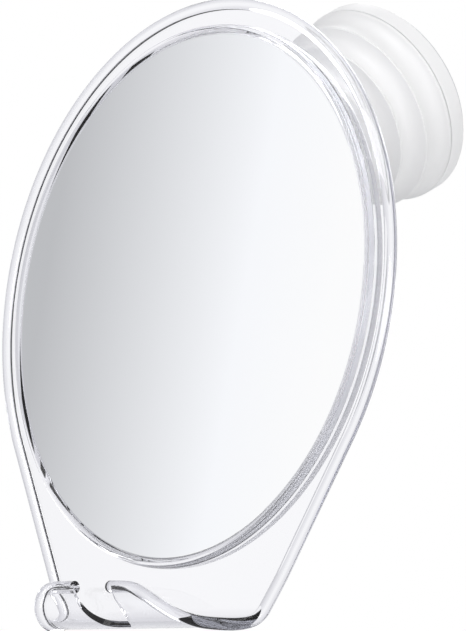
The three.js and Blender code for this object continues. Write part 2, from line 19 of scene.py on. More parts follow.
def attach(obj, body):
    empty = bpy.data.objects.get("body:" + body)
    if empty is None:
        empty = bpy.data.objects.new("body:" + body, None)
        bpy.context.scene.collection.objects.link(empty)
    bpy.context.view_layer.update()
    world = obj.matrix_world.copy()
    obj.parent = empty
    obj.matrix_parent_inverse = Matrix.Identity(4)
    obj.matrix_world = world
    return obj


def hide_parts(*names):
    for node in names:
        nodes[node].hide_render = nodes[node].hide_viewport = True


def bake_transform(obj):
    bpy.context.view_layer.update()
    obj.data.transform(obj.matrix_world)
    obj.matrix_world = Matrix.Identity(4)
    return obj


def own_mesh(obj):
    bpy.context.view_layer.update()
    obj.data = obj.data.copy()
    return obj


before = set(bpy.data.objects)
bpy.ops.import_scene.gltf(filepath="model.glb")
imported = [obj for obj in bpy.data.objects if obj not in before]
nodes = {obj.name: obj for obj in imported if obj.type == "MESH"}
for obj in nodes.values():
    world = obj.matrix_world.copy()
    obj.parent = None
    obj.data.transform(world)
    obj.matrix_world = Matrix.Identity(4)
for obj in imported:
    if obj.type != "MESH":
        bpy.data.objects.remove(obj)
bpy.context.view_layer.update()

# %% [markdown]
# Sizes are in millimetres, the same ones that the solids use, and `MM` turns them into metres
# when a mesh is made. They are written once here, so each surface below is a formula of them.

# %% Sizes of the real object
MM = 0.001
GAP = 0.3                      # between neighbouring pieces
MIRROR_R, MIRROR_T = 80.0, 3.0
FOAM_T = 0.6
SHEET_T, SHEET_BACK = 2.0, 2.47       # clear sheet, and its mid-plane behind the mirror's face
BEAD_R, BEAD_CIRCLE, TAPER = 1.92, 89.1, math.radians(30)
POD_WALL, POD_FLOOR, POD_PROUD, POD_BEZEL, POD_DRAFT = 2.2, 2.0, 0.75, 1.1, 0.4
CURL_R, CURL_DROP, CURL_WRAP, CURL_LEFT = 5.9, 94.8, math.radians(255), 44.6
FINGER_L, FINGER_CORNER = 10.0, 3.5
BALL_R, BALL_ABOVE, BALL_BEHIND, NECK_R = 7.5, 39.1, 18.0, 3.2
WALL_TO_BALL = 64.4
UP, LEFT = math.radians(31.4), math.radians(4.3)
print("mirror", 2 * MIRROR_R, "mm across, ball", 2 * BALL_R, "mm")

# %% [markdown]
# The head leans back and turns a little to the left about the ball. The mirror's own axes
# (x to its right, y up its face, z out of its face) become the three columns of one matrix,
# and every head piece is written in that simple frame and then carried over by it.

# %% From the mirror's own frame to the wall's
def mirror_axes():
    """Columns are the mirror's right, up and outward directions: a lean of UP about the
    wall's X, after a turn of LEFT about its Z, applied to the upright mirror."""
    cx, sx = math.cos(-UP), math.sin(-UP)
    cz, sz = math.cos(-LEFT), math.sin(-LEFT)
    lean = np.array([[1, 0, 0], [0, cx, -sx], [0, sx, cx]])
    turn = np.array([[cz, -sz, 0], [sz, cz, 0], [0, 0, 1]])
    upright = np.array([[1, 0, 0], [0, 0, -1], [0, 1, 0]])
    return turn @ lean, turn @ lean @ upright


HEAD, AXES = mirror_axes()
BALL_CENTRE = np.array([0.0, -WALL_TO_BALL, 0.0])
FACE_CENTRE = HEAD @ np.array([0.0, -BALL_BEHIND, -BALL_ABOVE]) + BALL_CENTRE


def on_head(points):
    """Mirror-frame points, one per row, placed in the wall's frame."""
    return np.asarray(points) @ AXES.T + FACE_CENTRE


print("mirror normal:", AXES[:, 2].round(3), "face centre:", FACE_CENTRE.round(1))

# %% [markdown]
# ## Camera
# The photograph was taken from far away through a long lens, from the right of the mirror and
# a little above. The mirror's round edge appears as an ellipse, and its shape gives the three
# directions below. A camera 6 m away keeps the lines nearly as parallel as they are in the
# picture, and the same lens still serves when the camera is moved round the object.

# %% Camera
PX_PER_MM = 3.324              # scale of the photograph at the mirror
VIEW_ACROSS, VIEW_DOWN = 12.548, 6.073    # mm from the mirror's centre to the picture's centre
PICTURE_W, PICTURE_H = 466, 631
CAMERA_AWAY = 6000.0
SENSOR = 12.0


def camera_axes():
    """Right and viewer directions from the ellipse, made exactly square to each other."""
    toward = AXES @ np.array([0.7693, -0.1129, 0.6288])
    right = AXES @ np.array([0.6386, 0.1040, -0.7625])
    toward /= np.linalg.norm(toward)
    right -= toward * (right @ toward)
    right /= np.linalg.norm(right)
    return right, np.cross(toward, right), toward


CAM_X, CAM_Y, CAM_Z = camera_axes()
aim = FACE_CENTRE + VIEW_ACROSS * CAM_X - VIEW_DOWN * CAM_Y
eye = aim + CAMERA_AWAY * CAM_Z
lens = bpy.data.cameras.new("photo_camera")
lens.sensor_width = SENSOR     # lies along the picture's longer side, its height
lens.lens = SENSOR * CAMERA_AWAY / (PICTURE_H / PX_PER_MM)
lens.clip_end = 100.0
camera = bpy.data.objects.new("photo_camera", lens)
turn = Matrix([list(row) for row in np.column_stack([CAM_X, CAM_Y, CAM_Z])]).to_4x4()
camera.matrix_world = Matrix.Translation(Vector(eye * MM)) @ turn
bpy.context.scene.collection.objects.link(camera)
bpy.context.scene.camera = camera
print("camera at", (eye * MM).round(3), "lens", round(lens.lens, 1))

# %% [markdown]
# ## Making meshes
# Nearly every part of this object is turned (round about one line) or swept (one outline
# carried along a path). Both are grids of points, worked out as whole arrays, and one helper
# puts a grid into a mesh.

# %% Grid of points to mesh
def mesh_object(name, vertices, faces, smooth_deg=35.0):
    """An object from vertices in mm and faces. Doubles are merged, faces with no area dropped,
    normals turned outwards, and edges sharper than smooth_deg kept crisp."""
    mesh = bpy.data.meshes.new(name)
    mesh.from_pydata((np.asarray(vertices) * MM).tolist(), [], faces)
    work = bmesh.new()
    work.from_mesh(mesh)
    bmesh.ops.remove_doubles(work, verts=work.verts, dist=2e-6)
    bmesh.ops.dissolve_degenerate(work, edges=work.edges, dist=1e-7)
    bmesh.ops.recalc_face_normals(work, faces=work.faces)
    if work.calc_volume(signed=True) < 0:
        bmesh.ops.reverse_faces(work, faces=work.faces)
    work.to_mesh(mesh)
    work.free()
    crisp(mesh, smooth_deg)
    made = bpy.data.objects.new(name, mesh)
    bpy.context.scene.collection.objects.link(made)
    return made


def crisp(mesh, smooth_deg):
    """Smooth shading with the edges above an angle marked sharp."""
    mesh.polygons.foreach_set("use_smooth", np.ones(len(mesh.polygons), bool))
    mesh.set_sharp_from_angle(angle=math.radians(smooth_deg))
    mesh.update()


def grid_faces(rows, cols, rows_closed=False, cols_closed=False):
    """Quads between neighbouring points of a rows by cols grid, run on round where closed."""
    i = np.arange(rows if rows_closed else rows - 1)[:, None]
    j = np.arange(cols if cols_closed else cols - 1)[None, :]
    a = i * cols + j
    b = ((i + 1) % rows) * cols + j
    c = ((i + 1) % rows) * cols + (j + 1) % cols
    d = i * cols + (j + 1) % cols
    return np.stack([a, b, c, d], -1).reshape(-1, 4).tolist()


print("a closed 4 by 5 grid has", len(grid_faces(4, 5, True, True)), "faces")

# %% [markdown]
# Moulded plastic has no knife edges. `eased` swaps each corner of an outline for a short curve,
# which is what catches the light along the crests of the white base.

# %% Rounded outlines
def eased(outline, radius, steps=5):
    """Each corner becomes a curve that starts and ends radius away from it along its two
    sides (or a third of the side, where that is shorter): a quadratic Bezier with the corner
    as its middle point."""
    p = np.asarray(outline, float)
    radius = np.broadcast_to(np.asarray(radius, float), (len(p),))
    before, after = np.roll(p, 1, 0), np.roll(p, -1, 0)
    u, v = before - p, after - p
    lu, lv = np.linalg.norm(u, axis=1), np.linalg.norm(v, axis=1)
    r = np.minimum(radius, np.minimum(lu, lv) / 3)
    start = p + u / lu[:, None] * r[:, None]
    end = p + v / lv[:, None] * r[:, None]
    t = np.linspace(0, 1, steps)[None, :, None]
    curve = (1 - t) ** 2 * start[:, None] + 2 * t * (1 - t) * p[:, None] + t**2 * end[:, None]
    return curve.reshape(-1, 2)


print("a square with eased corners has", len(eased([(0, 0), (3, 0), (3, 3), (0, 3)], 0.5)), "points")

# %% [markdown]
# Turned parts are one outline carried round a line, like work on a lathe. `place` then puts the
# result where it belongs: on the wall, or on the tilted head with the ball as its centre.

# %% Turned parts and where they go
def turned(name, outline, place, sides=160, smooth_deg=35.0):
    """Turns a closed outline of (radius, height) about the height axis: a point goes to
    (radius cos a, radius sin a, height) for each angle a, and place carries it over."""
    p = np.asarray(outline, float)
    a = np.arange(sides) * 2 * np.pi / sides
    r, h = p[:, 0][None], p[:, 1][None]
    grid = np.stack([r * np.cos(a)[:, None], r * np.sin(a)[:, None], h + 0 * a[:, None]], -1)
    faces = grid_faces(sides, len(p), rows_closed=True, cols_closed=True)
    return mesh_object(name, place(grid.reshape(-1, 3)), faces, smooth_deg)


def off_wall(points):
    """Turned wall pieces: height is the distance off the wall, along -Y."""
    return np.stack([points[:, 0], -points[:, 2], points[:, 1]], -1)


def about_ball(points):
    """Turned head pieces: height is the mirror frame's z, centred on the ball's axis."""
    return on_head(points + np.array([0, BALL_ABOVE, 0]))


def arc(centre, radius, start_deg, end_deg, steps):
    """(radius, height) points of a circle about (0, centre), angles from the height axis."""
    a = np.radians(np.linspace(start_deg, end_deg, steps))
    return np.stack([radius * np.sin(a), centre + radius * np.cos(a)], -1).tolist()


print("the ball's front end, off the wall:", arc(WALL_TO_BALL, BALL_R, 0, 90, 2)[0])

# %% [markdown]
# ## Materials
# Each finish is a small graph on a Principled shader. The even values sit on the shader's own
# sockets. Noise in Object coordinates varies colour, roughness and the fine relief, as hand
# marks, water film and moulding do on the real surfaces.

# %% Material helper
def finish(name, colour, rough, metal=0.0, vary=0.02, rough_vary=0.08, relief=0.02, scale=60.0,
           **sockets):
    """A Principled material whose colour, roughness and bump wander by two layers of noise:
    a broad one for colour and roughness, and a fine one for the relief."""
    mat = bpy.data.materials.new(name)
    mat.use_nodes = True
    tree = mat.node_tree
    shader = tree.nodes["Principled BSDF"]
    shader.inputs["Metallic"].default_value = metal
    for key, value in sockets.items():
        shader.inputs[key.replace("_", " ")].default_value = value
    coords = tree.nodes.new("ShaderNodeTexCoord")
    broad = tree.nodes.new("ShaderNodeTexNoise")
    broad.inputs["Scale"].default_value = scale
    broad.inputs["Detail"].default_value = 4.0
    fine = tree.nodes.new("ShaderNodeTexNoise")
    fine.inputs["Scale"].default_value = scale * 22
    fine.inputs["Detail"].default_value = 3.0
    for tex in (broad, fine):
        tree.links.new(coords.outputs["Object"], tex.inputs["Vector"])
    tint = tree.nodes.new("ShaderNodeMix")
    tint.data_type = "RGBA"
    tint.inputs["A"].default_value = (*[c * (1 - vary) for c in colour], 1)
    tint.inputs["B"].default_value = (*[min(1.0, c * (1 + vary)) for c in colour], 1)
    tree.links.new(broad.outputs["Fac"], tint.inputs["Factor"])
    tree.links.new(tint.outputs["Result"], shader.inputs["Base Color"])
    polish = tree.nodes.new("ShaderNodeMapRange")
    polish.inputs["To Min"].default_value = max(0.0, rough * (1 - rough_vary))
    polish.inputs["To Max"].default_value = rough * (1 + rough_vary)
    tree.links.new(broad.outputs["Fac"], polish.inputs["Value"])
    tree.links.new(polish.outputs["Result"], shader.inputs["Roughness"])
    bump = tree.nodes.new("ShaderNodeBump")
    bump.inputs["Strength"].default_value = relief
    bump.inputs["Distance"].default_value = 0.0004
    tree.links.new(fine.outputs["Fac"], bump.inputs["Height"])
    tree.links.new(bump.outputs["Normal"], shader.inputs["Normal"])
    return mat


print("materials so far:", len(bpy.data.materials))

# %% [markdown]
# Clear acrylic needs two more things. Light fades a little as it travels inside it, which gives
# thick places their cool tint. And a lamp has to shine through it: a refracting surface stops
# shadow rays, so those are let straight through instead.

# %% Tint and shadow of the clear plastic
TINT, TINT_DENSITY = (0.78, 0.79, 0.86), 25.0      # colour, and strength per metre


def tint_by_depth(mat):
    """Thick clear plastic takes a faint cool tint: light fades as it travels inside it."""
    tree = mat.node_tree
    absorb = tree.nodes.new("ShaderNodeVolumeAbsorption")
    absorb.inputs["Color"].default_value = (*TINT, 1)
    absorb.inputs["Density"].default_value = TINT_DENSITY
    tree.links.new(absorb.outputs["Volume"], tree.nodes["Material Output"].inputs["Volume"])


def lets_light_by(mat):
    """Shadow rays pass straight through with a faint tint. Thin clear plastic casts hardly any
    shadow, and a refracting surface alone would block every lamp behind it."""
    tree = mat.node_tree
    path = tree.nodes.new("ShaderNodeLightPath")
    through = tree.nodes.new("ShaderNodeBsdfTransparent")
    through.inputs["Color"].default_value = (0.975, 0.975, 0.98, 1)
    mix = tree.nodes.new("ShaderNodeMixShader")
    tree.links.new(path.outputs["Is Shadow Ray"], mix.inputs["Fac"])
    tree.links.new(tree.nodes["Principled BSDF"].outputs[0], mix.inputs[1])
    tree.links.new(through.outputs[0], mix.inputs[2])
    tree.links.new(mix.outputs[0], tree.nodes["Material Output"].inputs["Surface"])


def wear(piece, *mats):
    """Gives an object its materials, in slot order."""
    piece.data.materials.clear()
    for mat in mats:
        piece.data.materials.append(mat)


through_sheet = [round(math.exp(-TINT_DENSITY * (1 - c) * SHEET_T * MM), 3) for c in TINT]
print("light left after the sheet's thickness:", through_sheet)

# %% [markdown]
# The object has few finishes. The frame is clear acrylic, which bends light and takes a faint
# cool tint where it is thick. The mirror's face is silvered and its ground edge is a satin
# grey. The base and the joint are white moulded plastic, and what is hidden in them is natural
# nylon, steel, soft grey rubber and white foam.

# %% The finishes
CLEAR = finish("clear_acrylic", (0.985, 0.985, 0.995), 0.01, relief=0.002, vary=0.004, scale=24.0,
               Transmission_Weight=1.0, IOR=1.49)
tint_by_depth(CLEAR)
lets_light_by(CLEAR)
SILVER = finish("silvered_face", (0.965, 0.968, 0.975), 0.02, metal=1.0, vary=0.004, relief=0.0)
GLASS_EDGE = finish("ground_glass_edge", (0.80, 0.805, 0.83), 0.6, vary=0.02, relief=0.0)
WHITE = finish("white_satin_plastic", (0.84, 0.84, 0.842), 0.42, vary=0.008, relief=0.02)
NYLON = finish("natural_nylon", (0.80, 0.79, 0.74), 0.5, vary=0.03, relief=0.05)
STEEL = finish("turned_steel", (0.60, 0.61, 0.63), 0.3, metal=1.0, vary=0.05, relief=0.04)
RUBBER = finish("soft_pad_rubber", (0.60, 0.61, 0.63), 0.45, vary=0.03, relief=0.06)
FOAM = finish("white_foam", (0.92, 0.92, 0.925), 0.95, vary=0.08, relief=0.4)
print("materials:", len(bpy.data.materials))

# %% [markdown]
# ## The clear frame's outline
# The sheet is easiest to describe unrolled and flat. A point on it is (x, s), with s measured
# down the sheet from the line where the curl begins. `curled` then wraps it forwards round the
# curl's axis. The edges follow the outline that the photograph shows.

# %% Unrolled sheet
CURL_Y, CURL_Z = -CURL_DROP, -SHEET_BACK + CURL_R
CURL_LEN = CURL_WRAP * CURL_R
NOTCH_FLOOR = math.radians(103) * CURL_R
TANGENT_X, TANGENT_S = BEAD_CIRCLE * math.cos(TAPER), CURL_Y + BEAD_CIRCLE * math.sin(TAPER)


def curled(xs, out=0.0):
    """Wraps (x, s) round the curl's axis: straight above it, and past it the angle is s over
    the radius. out is the distance from mid-sheet to the outer side."""
    xs = np.asarray(xs, float)
    x, s = xs[:, 0], xs[:, 1]
    a = np.maximum(s, 0) / CURL_R
    r = CURL_R + out
    y = np.where(s > 0, CURL_Y - r * np.sin(a), CURL_Y - s)
    z = np.where(s > 0, CURL_Z - r * np.cos(a), -SHEET_BACK - out)
    return np.stack([x, y, z], -1)


def side_at(s):
    """Half width of the straight, tapered sides at s."""
    return TANGENT_X - (s - TANGENT_S) * math.tan(TAPER)


print("half width where the curl begins:", round(side_at(0), 1))

# %% [markdown]
# The tray's edges are drawn on the unrolled sheet. Long free curves pass through a few points,
# rounded corners are short quadratic curves, and both are set at even steps at the end.

# %% Curves for the tray's edges
def spline(points, count):
    """A uniform Catmull-Rom curve through points, resampled to even steps along its length."""
    p = np.asarray(points, float)
    q = np.concatenate([p[:1], p, p[-1:]])
    t = np.linspace(0, 1, 60, endpoint=False)[None, :, None]
    a, b, c, d = (q[k:len(q) - 3 + k][:, None] for k in range(4))
    v0, v1 = (c - a) / 2, (d - b) / 2
    curve = (2 * b - 2 * c + v0 + v1) * t**3 + (3 * c - 3 * b - 2 * v0 - v1) * t**2 + v0 * t + b
    return even(np.concatenate([curve.reshape(-1, p.shape[1]), p[-1:]]), count)


def even(points, count):
    """Points at equal distances along a polyline."""
    step = np.linalg.norm(np.diff(points, axis=0), axis=1)
    along = np.concatenate([[0], np.cumsum(step)])
    at = np.linspace(0, along[-1], count)
    return np.stack([np.interp(at, along, points[:, k]) for k in range(points.shape[1])], -1)


def bezier(start, middle, end, count=16):
    """A quadratic curve from start to end that leaves and arrives towards middle."""
    t = np.linspace(0, 1, count)[:, None]
    return (1 - t) ** 2 * np.array(start) + 2 * t * (1 - t) * np.array(middle) + t**2 * np.array(end)


print("even steps on a line:", even(np.array([[0.0, 0.0], [4.0, 0.0]]), 3).tolist())

# %% [markdown]
# On the left the tray's side turns in to a short finger. On the right the long lip falls away
# in an S. A slanted notch lies between them, for the neck of a razor.

# %% Outlines of the tray
lead = CURL_R
left_outline = even(np.concatenate([
    [[-CURL_LEFT + FINGER_L, CURL_LEN]],
    bezier((-CURL_LEFT + FINGER_CORNER, CURL_LEN), (-CURL_LEFT, CURL_LEN),
           (-CURL_LEFT, CURL_LEN - FINGER_CORNER)),
    bezier((-CURL_LEFT, lead), (-CURL_LEFT, 0), (-side_at(-lead), -lead)),
    [[-side_at(-2 * lead), -2 * lead]],
]), 140)
right_shares = np.array([(0.985, 0), (0.916, 0.19), (0.767, 0.343), (0.579, 0.434), (0.394, 0.56),
                         (0.185, 0.724), (-0.063, 0.899), (-0.21, 0.971)])
right_lead = 1.5 * CURL_R
right_outline = spline(np.concatenate([
    [[side_at(-2 * right_lead), -2 * right_lead], [side_at(-right_lead), -right_lead]],
    right_shares * [side_at(0), CURL_LEN],
    [[-17.6, CURL_LEN]],
]), 220)


def notch_side(shares, floor_x, mouth_x):
    """A side of the notch from its floor to its mouth, from shares across and up."""
    across, up = np.array(shares).T
    return spline(np.stack([floor_x + (mouth_x - floor_x) * across,
                            NOTCH_FLOOR + (CURL_LEN - NOTCH_FLOOR) * up], -1), 120)


NOTCH_FLOOR_LEFT, NOTCH_FLOOR_RIGHT = -16.0, -4.5
NOTCH_MOUTH_LEFT, NOTCH_MOUTH_RIGHT = -34.6, -17.6
left_shares = [(-0.23, 0), (0, 0.06), (0.2, 0.2), (0.4, 0.375), (0.68, 0.66), (0.87, 0.86), (1, 1)]
notch_right_shares = [(0.1, 0), (-0.02, 0.1), (-0.02, 0.29), (0.14, 0.46), (0.35, 0.59), (0.76, 0.87), (1, 1)]
notch_left = notch_side(left_shares, NOTCH_FLOOR_LEFT, NOTCH_MOUTH_LEFT)
notch_right = notch_side(notch_right_shares, NOTCH_FLOOR_RIGHT, NOTCH_MOUTH_RIGHT)
print("curl length", round(CURL_LEN, 1))
print("left ends at", left_outline[0].round(1), "right at", right_outline[-1].round(1))

# %% [markdown]
# ## The clear frame's solid
# The sheet, the pod and the bead are made as closed solids and joined into one, because clear
# plastic shows every surface inside it: two overlapping solids would show a seam that the
# moulded part doesn't have. Modifiers could bend a flat sheet too, but the formula keeps the
# tray's edge exact.

# %% Sheet and curled bands
def x_at(outline, s):
    """x of an outline at each s, read from its points in order of s."""
    order = np.argsort(outline[:, 1])
    return np.interp(s, outline[order, 1], outline[order, 0])


def band(name, left, right, start, end, steps):
    """A curled band of the sheet between two edges: a four-cornered section at each s."""
    s = np.linspace(start, end, steps)
    x0, x1 = x_at(left, s), x_at(right, s)
    across = np.linspace(0, 1, 9)[None, :]
    x = x0[:, None] * (1 - across) + x1[:, None] * across
    xs = np.stack([x, np.repeat(s[:, None], 9, 1)], -1).reshape(-1, 2)
    outer = curled(xs, SHEET_T / 2).reshape(steps, 9, 3)
    inner = curled(xs, -SHEET_T / 2).reshape(steps, 9, 3)[:, ::-1]
    loop = np.concatenate([outer, inner], 1)
    n = loop.shape[1]
    faces = grid_faces(steps, n, cols_closed=True)
    faces += [list(range(n))[::-1], list(range((steps - 1) * n, steps * n))]
    return mesh_object(name, loop.reshape(-1, 3), faces)


def flat_sheet(name):
    """The flat part of the sheet: its outline closed along the curl's first line, pulled into
    a slab as thick as the sheet. The pod is joined over its middle."""
    arc_a = np.linspace(math.pi + TAPER, -TAPER, 240)
    ring = BEAD_CIRCLE * np.stack([np.cos(arc_a), np.sin(arc_a)], -1)
    left = left_outline[left_outline[:, 1] < -0.05] * [1, -1] + [0, CURL_Y]
    right = right_outline[right_outline[:, 1] < -0.05][::-1] * [1, -1] + [0, CURL_Y]
    foot = [[float(x_at(right_outline, 0.0)), CURL_Y], [float(x_at(left_outline, 0.0)), CURL_Y]]
    edge = np.concatenate([left, ring, right, foot])
    n = len(edge)
    front = np.column_stack([edge, np.full(n, -SHEET_BACK + SHEET_T / 2)])
    back = np.column_stack([edge, np.full(n, -SHEET_BACK - SHEET_T / 2)])
    faces = [[i, (i + 1) % n, n + (i + 1) % n, n + i] for i in range(n)]
    faces += [list(range(n))[::-1], list(range(n, 2 * n))]
    return mesh_object(name, np.concatenate([front, back]), faces)


print("left side at the curl:", round(float(x_at(left_outline, 0.0)), 1))

# %% [markdown]
# The bead is a round bar that follows the sheet's edge. Each cross-section is a ring square to
# the path, and where a run ends in the open, shrinking rings close it with a dome.

# %% Round bar along a path
def swept(name, path, normals, radius, sides=28, dome=0.0):
    """A round bar along a path on the sheet: at each point p a ring of points
    p + radius (cos a N + sin a T x N), with T the path's direction and N the sheet's normal.
    dome closes both ends with shrinking rings pushed out by that share of the radius."""
    p = np.asarray(path, float)
    tangent = unit(np.gradient(p, axis=0))
    up = unit(normals - tangent * (tangent * normals).sum(1, keepdims=True))
    across = np.cross(tangent, up)
    size = np.ones(len(p))
    if dome:
        tilt = np.radians([75, 55, 30])[:, None]
        push = radius * dome * np.sin(tilt)
        p = np.concatenate([p[0] - tangent[0] * push, p, p[-1] + tangent[-1] * push[::-1]])
        up, across = (np.pad(v, ((3, 3), (0, 0)), mode="edge") for v in (up, across))
        size = np.concatenate([np.cos(tilt[:, 0]), size, np.cos(tilt[::-1, 0])])
    a = np.arange(sides)[None, :, None] * 2 * np.pi / sides
    ring = np.cos(a) * up[:, None] + np.sin(a) * across[:, None]
    grid = (p[:, None] + radius * size[:, None, None] * ring).reshape(-1, 3)
    faces = grid_faces(len(p), sides, cols_closed=True)
    faces += [list(range(sides))[::-1], list(range(len(grid) - sides, len(grid)))]
    return mesh_object(name, grid, faces)


def unit(vectors):
    """Rows scaled to length one."""
    return vectors / np.linalg.norm(vectors, axis=1, keepdims=True)


def sheet_normals(xs):
    """The curled sheet's outward normal at each (x, s)."""
    a = np.maximum(np.asarray(xs)[:, 1], 0) / CURL_R
    return np.stack([0 * a, -np.sin(a), -np.cos(a)], -1)


print("normal on the flat sheet:", sheet_normals([(0.0, -1.0)])[0])

# %% [markdown]
# The pod is a shallow dish: floor behind, wall round the mirror, and a narrow slanted bezel in
# front. It has 400 sides. With many more, the joined floor becomes a face that the renderer
# splits badly, which shows as dark wedges in the clear plate.

# %% Pod and joining
FLOOR_FRONT = -MIRROR_T - GAP - FOAM_T - GAP
FLOOR_BACK = FLOOR_FRONT - POD_FLOOR
POD_IN = MIRROR_R + GAP
POD_OUT = POD_IN + POD_WALL


def pod(name):
    """The pod's wall, bezel and floor as one outline, turned about the mirror's normal."""
    outline = [
        (0, FLOOR_FRONT), (POD_IN, FLOOR_FRONT), (POD_IN, 0), (POD_IN + POD_BEZEL, POD_PROUD),
        (POD_OUT - 0.3, POD_PROUD), (POD_OUT, POD_PROUD - 0.3),
        (POD_OUT + POD_DRAFT, -SHEET_BACK + SHEET_T / 2), (POD_OUT + POD_DRAFT, -SHEET_BACK - SHEET_T / 2),
        (POD_OUT, FLOOR_BACK), (0, FLOOR_BACK),
    ]
    p = eased(outline[1:-1], [0.3, 0.1, 0.25, 0.2, 0.2, 0.05, 0.05, 0.5], 4)
    p = np.concatenate([[outline[0]], p, [outline[-1]]])
    return turned(name, p, lambda q: q, sides=400)


def joined(pieces, name):
    """Boolean union of closed solids, applied at once."""
    whole = pieces[0]
    for other in pieces[1:]:
        combine(whole, other, "UNION")
    whole.name = name
    whole.data.name = name
    return whole


def combine(whole, other, operation):
    """Applies one boolean between two closed solids and removes the other solid."""
    mod = whole.modifiers.new("combine", "BOOLEAN")
    mod.operation = operation
    mod.solver = "MANIFOLD"
    mod.object = other
    bpy.context.view_layer.update()
    result = whole.evaluated_get(bpy.context.evaluated_depsgraph_get())
    done = bpy.data.meshes.new_from_object(result)
    whole.modifiers.clear()
    whole.data = done
    bpy.data.objects.remove(other)


print("pod", round(2 * POD_OUT, 1), "mm across, floor from", FLOOR_BACK, "to", FLOOR_FRONT)

# %% [markdown]
# Three runs of bead go round the frame: one round the plate, and one along each side of the
# tray. They overlap a little where they meet. All are joined with the sheet and the pod, and
# only then is the result carried over to the tilted head.

# %% Bead and the joined frame
def plate_outline():
    """(x, s) of the bead round the plate: it laps over the two runs that follow the tray."""
    lap_left, lap_right = 2 * lead - BEAD_R / 2, 2 * right_lead - BEAD_R / 2
    a = np.linspace(math.pi + TAPER, -TAPER, 260)
    ring = np.stack([BEAD_CIRCLE * np.cos(a), CURL_Y - BEAD_CIRCLE * np.sin(a)], -1)
    ends = [[-side_at(-lap_left), -lap_left]], [[side_at(-lap_right), -lap_right]]
    return even(np.concatenate([ends[0], ring, ends[1]]), 900)


def clear_frame():
    """Everything clear, in one solid, placed on the head."""
    lap = 0.2
    pieces = [
        pod("frame_pod"), flat_sheet("frame_sheet"),
        band("frame_curl", left_outline, right_outline, -lap, NOTCH_FLOOR, 40),
        band("frame_finger", left_outline, notch_left, NOTCH_FLOOR - lap, CURL_LEN, 70),
        band("frame_tongue", notch_right, right_outline, NOTCH_FLOOR - lap, CURL_LEN - BEAD_R / 2, 70),
    ]
    runs = (("plate", plate_outline(), 0), ("left", left_outline, 0), ("right", right_outline, 0.6))
    for name, xs, dome in runs:
        pieces.append(swept("frame_bead_" + name, curled(xs), sheet_normals(xs), BEAD_R, dome=dome))
    whole = joined(pieces, "clear_frame_smooth")
    co = np.empty(len(whole.data.vertices) * 3)
    whole.data.vertices.foreach_get("co", co)
    placed = on_head(co.reshape(-1, 3) / MM) * MM
    whole.data.vertices.foreach_set("co", placed.ravel())
    crisp(whole.data, 32)
    keep_flats_flat(whole.data, AXES[:, 2])
    return whole


def keep_flats_flat(mesh, normal):
    """Marks the border of every face that is square to normal as sharp. The long faces of a
    flat sheet would otherwise be shaded as if they bent towards the round parts beside them."""
    facing = np.empty(len(mesh.polygons) * 3)
    mesh.polygons.foreach_get("normal", facing)
    sides = np.empty(len(mesh.polygons), np.int32)
    mesh.polygons.foreach_get("loop_total", sides)
    edge = np.empty(len(mesh.loops), np.int32)
    mesh.loops.foreach_get("edge_index", edge)
    flat = np.repeat(np.abs(facing.reshape(-1, 3) @ normal) > 0.99999, sides)
    sharp = np.empty(len(mesh.edges), bool)
    mesh.edges.foreach_get("use_edge_sharp", sharp)
    beside = np.bincount(edge[flat], minlength=len(sharp))
    sharp |= (beside > 0) & (beside < np.bincount(edge, minlength=len(sharp)))
    mesh.edges.foreach_set("use_edge_sharp", sharp)
    mesh.update()
    print("edges kept sharp:", int(sharp.sum()), "of", len(sharp))


clear = clear_frame()
print("clear frame:", len(clear.data.polygons), "faces")

# %% [markdown]
# Foam tape fills the pod between its floor and the mirror. Where tape is stuck on, one sees the
# white foam through the plastic and not a clear surface, so those faces take the foam's finish.
# This is partly painted light: the pale faces stand in for light that stays trapped inside the
# clear plastic and does not come out there, so the floor under the mirror's edge reads pale.

# %% Faces under the foam tape, partly painted light
def foam_and_painted_light_faces(mesh):
    """One for each face of the pod's floor that takes the foam's finish, as foam and as painted light,
    and zero for the others. They face out of the mirror, behind the sheet's front and inside the pod's wall."""
    centre, facing = (np.empty(len(mesh.polygons) * 3) for _ in range(2))
    mesh.polygons.foreach_get("center", centre)
    mesh.polygons.foreach_get("normal", facing)
    local = (centre.reshape(-1, 3) / MM - FACE_CENTRE) @ AXES
    outward = facing.reshape(-1, 3) @ AXES[:, 2] > 0.999
    low = np.abs(local[:, 2] - FLOOR_FRONT) < GAP / 2
    return (outward & low & (np.hypot(local[:, 0], local[:, 1]) < POD_IN)).astype(np.int32)


wear(clear, CLEAR, FOAM)
foam_and_painted_light_mask = foam_and_painted_light_faces(clear.data)
# The foam's finish on these faces is partly painted light: it keeps them pale where trapped light would leave
# them dark.
clear.data.polygons.foreach_set("material_index", foam_and_painted_light_mask)
print("faces under the foam tape:", int(foam_and_painted_light_mask.sum()))
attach(clear, "head")
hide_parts("clear_frame")

# %% [markdown]
# ## Mirror
# The mirror is a plain disc with a ground edge. Its face is a near-perfect metal surface; the
# edge is frosted and grey, which is the grey line seen through the clear wall on the right.

# %% Mirror disc
def mirror_disc():
    """A turned disc with an eased front corner; faces on the rim get the ground-edge finish.
    The face itself is shaded flat, since smoothed normals would make it a convex mirror."""
    outline = [(0, 0), (MIRROR_R, 0), (MIRROR_R, -MIRROR_T), (0, -MIRROR_T)]
    rim_curve = eased(outline, [0, 0.4, 0.2, 0], 5)[5:-5]
    p = np.concatenate([[outline[0]], rim_curve, [outline[3]]])
    disc = turned("mirror_face", p, on_head, sides=400, smooth_deg=25)
    wear(disc, SILVER, GLASS_EDGE)
    normals = np.empty(len(disc.data.polygons) * 3)
    disc.data.polygons.foreach_get("normal", normals)
    rim = (normals.reshape(-1, 3) @ AXES[:, 2]) < 0.9
    disc.data.polygons.foreach_set("material_index", rim.astype(np.int32))
    disc.data.polygons.foreach_set("use_smooth", rim)
    return disc


